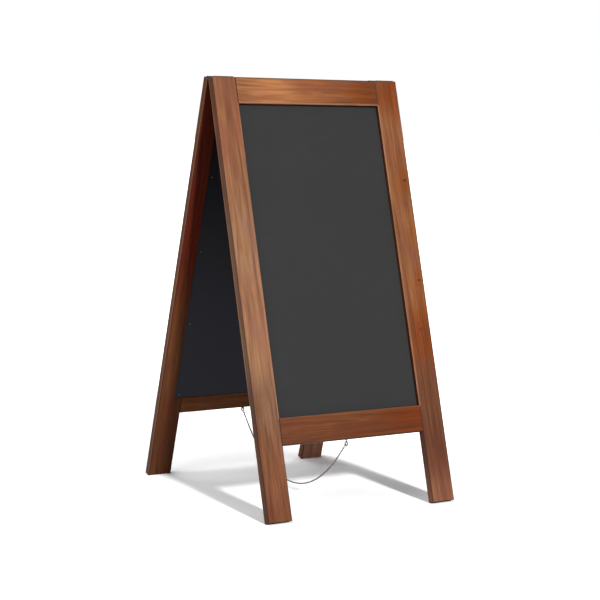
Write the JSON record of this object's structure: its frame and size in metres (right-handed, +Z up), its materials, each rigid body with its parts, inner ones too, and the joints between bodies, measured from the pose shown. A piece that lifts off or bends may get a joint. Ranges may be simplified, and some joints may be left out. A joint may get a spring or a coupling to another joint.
{
  "type": "sandwich board",
  "caption": "Folding A-frame sandwich board: hinged timber frames with chalkboards, standing open with a slack stay cord between the lower rails.",
  "frame": {"origin": "on the floor, midway between the four feet, under the hinge axis", "axes": "+Z up, -Y the front of the sign, +X to the right as seen from the front; the hinge axis runs along X"},
  "size_m": [0.508, 0.6002, 0.982],
  "materials": {
    "stained_timber": "reddish-brown stain under thin satin varnish",
    "chalkboard": "matte chalkboard paint on hardboard",
    "pale_wood": "bare fluted beech dowel",
    "dark_steel": "pressed steel with a dull dark bronze plate",
    "screw_steel": "bright zinc plate",
    "zinc_wire": "zinc-plated wire",
    "ferrule": "crimped aluminium",
    "cord": "braided grey synthetic cord"
  },
  "bodies": {
    "front_panel": {"front_left_stile": "stained_timber", "front_right_stile": "stained_timber", "front_top_rail": "stained_timber", "front_bottom_rail": "stained_timber", "front_chalkboard": "chalkboard", "front_board_pins": "dark_steel", "front_dowels": "pale_wood", "front_hinge_screws": "screw_steel", "front_screw_eye": "zinc_wire", "front_cord_loop": "cord", "front_ferrule": "ferrule", "left_hinge_front_leaf": "dark_steel", "right_hinge_front_leaf": "dark_steel", "left_hinge_pin": "dark_steel", "right_hinge_pin": "dark_steel", "stay_cord": "cord"},
    "back_panel": {"back_left_stile": "stained_timber", "back_right_stile": "stained_timber", "back_top_rail": "stained_timber", "back_bottom_rail": "stained_timber", "back_chalkboard": "chalkboard", "back_board_pins": "dark_steel", "back_dowels": "pale_wood", "back_hinge_screws": "screw_steel", "back_screw_eye": "zinc_wire", "back_cord_loop": "cord", "back_ferrule": "ferrule", "left_hinge_back_leaf": "dark_steel", "right_hinge_back_leaf": "dark_steel"}
  },
  "joints": [
    {"name": "fold", "type": "hinge", "parent": "front_panel", "child": "back_panel", "pos_m": [0, 0, 0.97866], "axis": [1, 0, 0], "range_deg": [-32.2, 6.4], "deforming": ["stay_cord"]}
  ]
}
